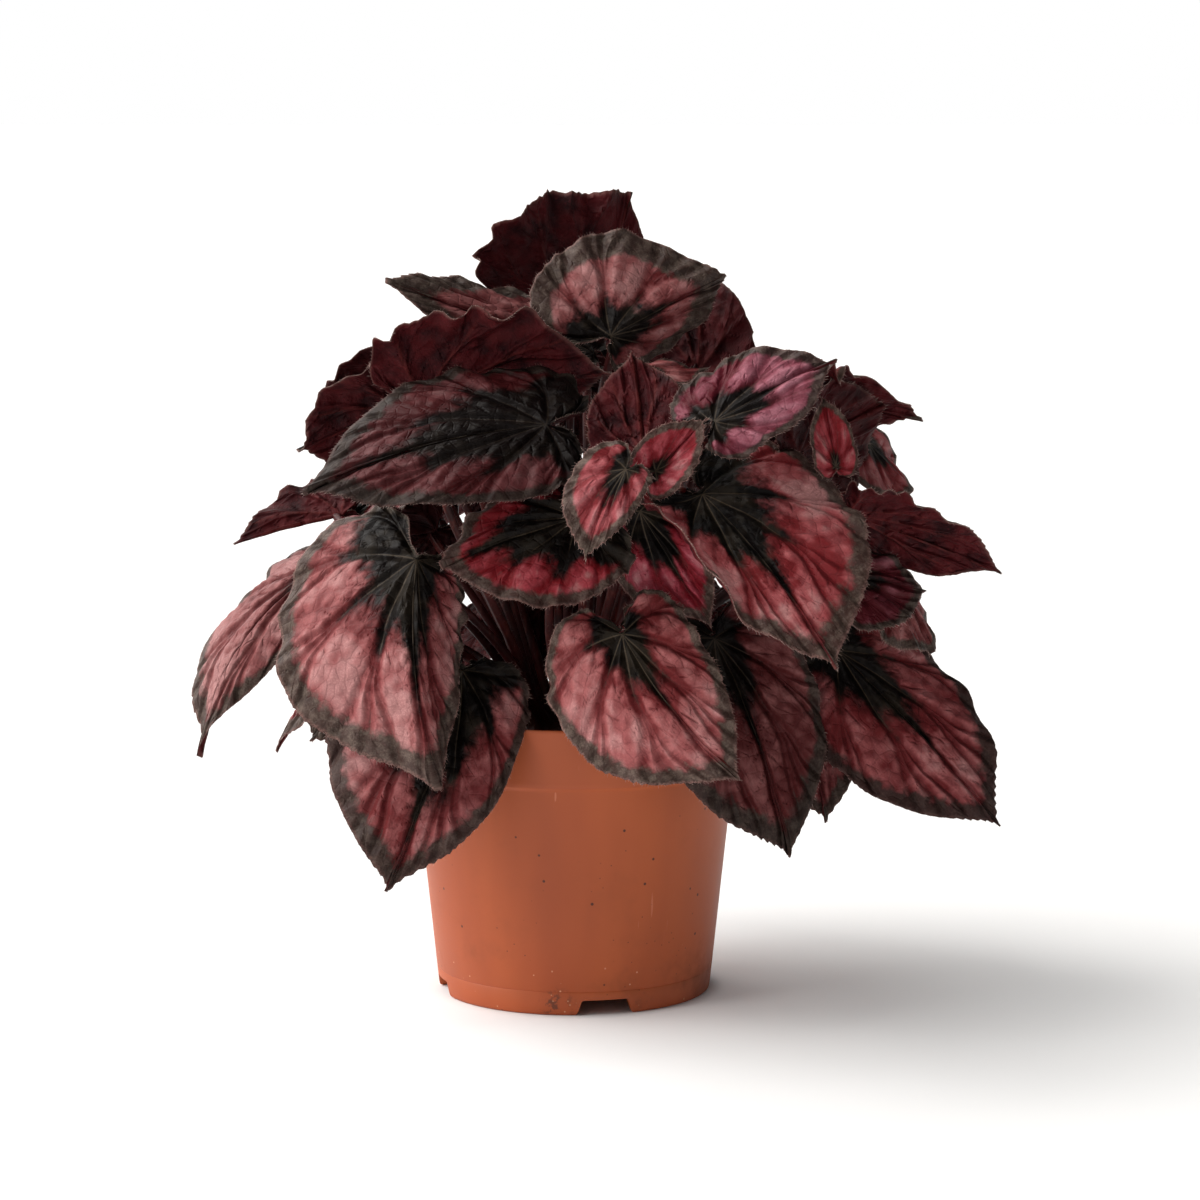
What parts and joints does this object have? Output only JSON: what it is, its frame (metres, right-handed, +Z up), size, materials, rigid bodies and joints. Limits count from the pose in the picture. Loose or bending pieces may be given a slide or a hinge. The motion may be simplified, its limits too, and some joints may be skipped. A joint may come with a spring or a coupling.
{
  "type": "potted rex begonia",
  "caption": "Rex begonia with broad lop-sided heart-shaped leaves on long red stalks, growing in a round tapered nursery pot with a raised collar and a notched foot.",
  "frame": {"origin": "on the ground, under the middle of the whole plant's bounding box", "axes": "+Z up along the pot's axis, -Y towards the side of the plant that faces the viewer, +X to the viewer's right"},
  "size_m": [0.2888, 0.2526, 0.2899],
  "materials": {
    "pot_plastic": "satin",
    "potting_soil": "matte",
    "stalk": "satin",
    "leaf": "satin"
  },
  "bodies": {
    "root": {"pot": "pot_plastic", "soil": "potting_soil", "stalks": "stalk", "leaf_back_low_1": "leaf", "leaf_back_low_2": "leaf", "leaf_back_low_3": "leaf", "leaf_back_low_4": "leaf", "leaf_back_low_5": "leaf", "leaf_back_mid_1": "leaf", "leaf_back_mid_2": "leaf", "leaf_back_mid_3": "leaf", "leaf_back_mid_4": "leaf", "leaf_back_mid_5": "leaf", "leaf_back_top_1": "leaf", "leaf_back_top_2": "leaf", "leaf_back_top_3": "leaf", "leaf_center_back": "leaf", "leaf_center_red": "leaf", "leaf_center_top_edge": "leaf", "leaf_center_upright": "leaf", "leaf_far_left": "leaf", "leaf_front_center": "leaf", "leaf_inner_left_high": "leaf", "leaf_inner_left_low": "leaf", "leaf_inner_middle": "leaf", "leaf_inner_right_high": "leaf", "leaf_inner_right_low": "leaf", "leaf_inner_top": "leaf", "leaf_left_back_up": "leaf", "leaf_left_big": "leaf", "leaf_left_drape": "leaf", "leaf_left_rolled": "leaf", "leaf_left_top_a": "leaf", "leaf_left_top_b": "leaf", "leaf_low_left": "leaf", "leaf_low_left_small": "leaf", "leaf_low_mid": "leaf", "leaf_low_right_small": "leaf", "leaf_pink_right": "leaf", "leaf_red_young": "leaf", "leaf_right_center": "leaf", "leaf_right_edge_on": "leaf", "leaf_right_long": "leaf", "leaf_right_low": "leaf", "leaf_right_maroon": "leaf", "leaf_right_pale": "leaf", "leaf_right_purple": "leaf", "leaf_right_top_tip": "leaf", "leaf_small_center": "leaf", "leaf_top_back": "leaf", "leaf_upper_center": "leaf", "leaf_upper_left": "leaf", "leaf_upper_right_dark": "leaf", "leaf_young_center": "leaf"}
  },
  "joints": []
}
